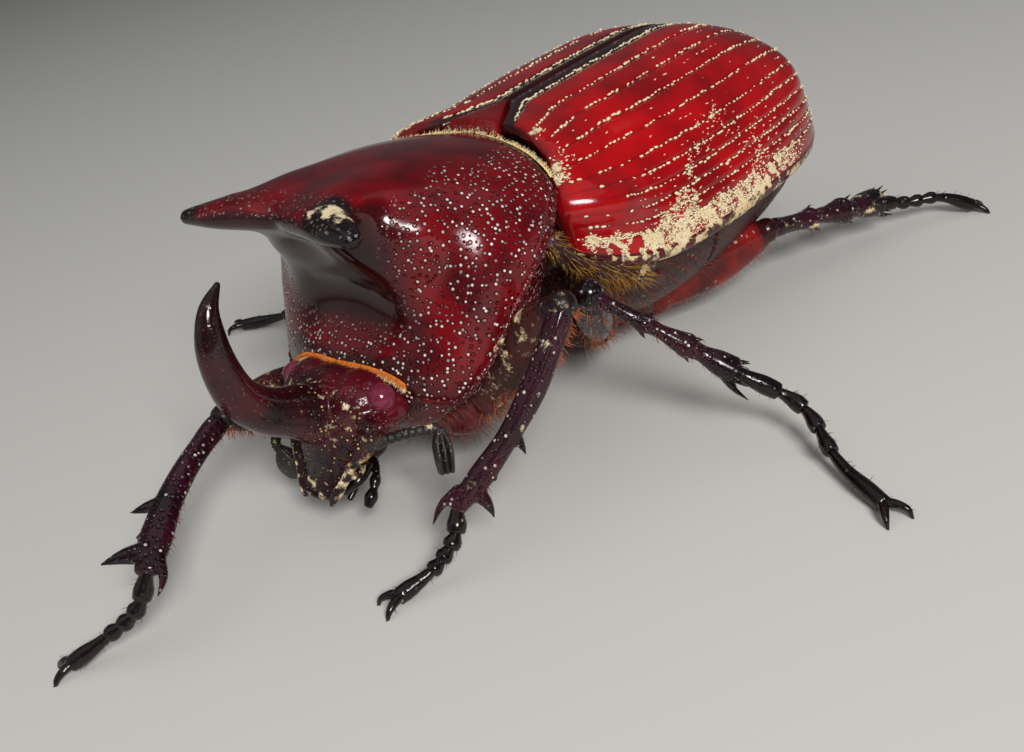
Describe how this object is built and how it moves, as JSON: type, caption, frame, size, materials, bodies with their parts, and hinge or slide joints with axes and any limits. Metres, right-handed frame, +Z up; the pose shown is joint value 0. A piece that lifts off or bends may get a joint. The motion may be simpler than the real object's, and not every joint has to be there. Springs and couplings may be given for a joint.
{
  "type": "horned beetle",
  "caption": "Life-size still model of a male horned scarab beetle with glossy red wing cases, a forked horn over a curved head horn, standing on its feet.",
  "frame": {"origin": "centre of the bounding box at its lowest level, the floor under the feet", "axes": "+Z up; the beetle faces -Y, its left side is +X"},
  "size_m": [0.0522, 0.0602, 0.0172],
  "materials": {
    "elytra": "glossy deep red chitin, wing cases and scutellum",
    "pronotum": "glossy dark maroon chitin with pitted sides",
    "horn": "glossy black-brown chitin",
    "head": "dark red-black pitted chitin",
    "eye": "smooth brown-red eye",
    "antenna": "dull grey-black chitin, feelers and mouthparts",
    "underside": "red-brown chitin of chest and belly",
    "leg": "glossy purple-black chitin",
    "tarsus": "glossy black chitin of the feet"
  },
  "bodies": {
    "root": {"abdomen": "underside", "antenna_left": "antenna", "antenna_right": "antenna", "elytron_left": "elytra", "elytron_right": "elytra", "eye_left": "eye", "eye_right": "eye", "femur_front_left": "leg", "femur_front_right": "leg", "femur_hind_left": "leg", "femur_hind_right": "leg", "femur_middle_left": "leg", "femur_middle_right": "leg", "head": "head", "head_horn": "horn", "mouthparts": "antenna", "pronotum": "pronotum", "pronotum_horn": "pronotum", "scutellum": "elytra", "tarsus_front_left": "tarsus", "tarsus_front_right": "tarsus", "tarsus_hind_left": "tarsus", "tarsus_hind_right": "tarsus", "tarsus_middle_left": "tarsus", "tarsus_middle_right": "tarsus", "thorax": "underside", "tibia_front_left": "leg", "tibia_front_right": "leg", "tibia_hind_left": "leg", "tibia_hind_right": "leg", "tibia_middle_left": "leg", "tibia_middle_right": "leg"}
  },
  "joints": []
}
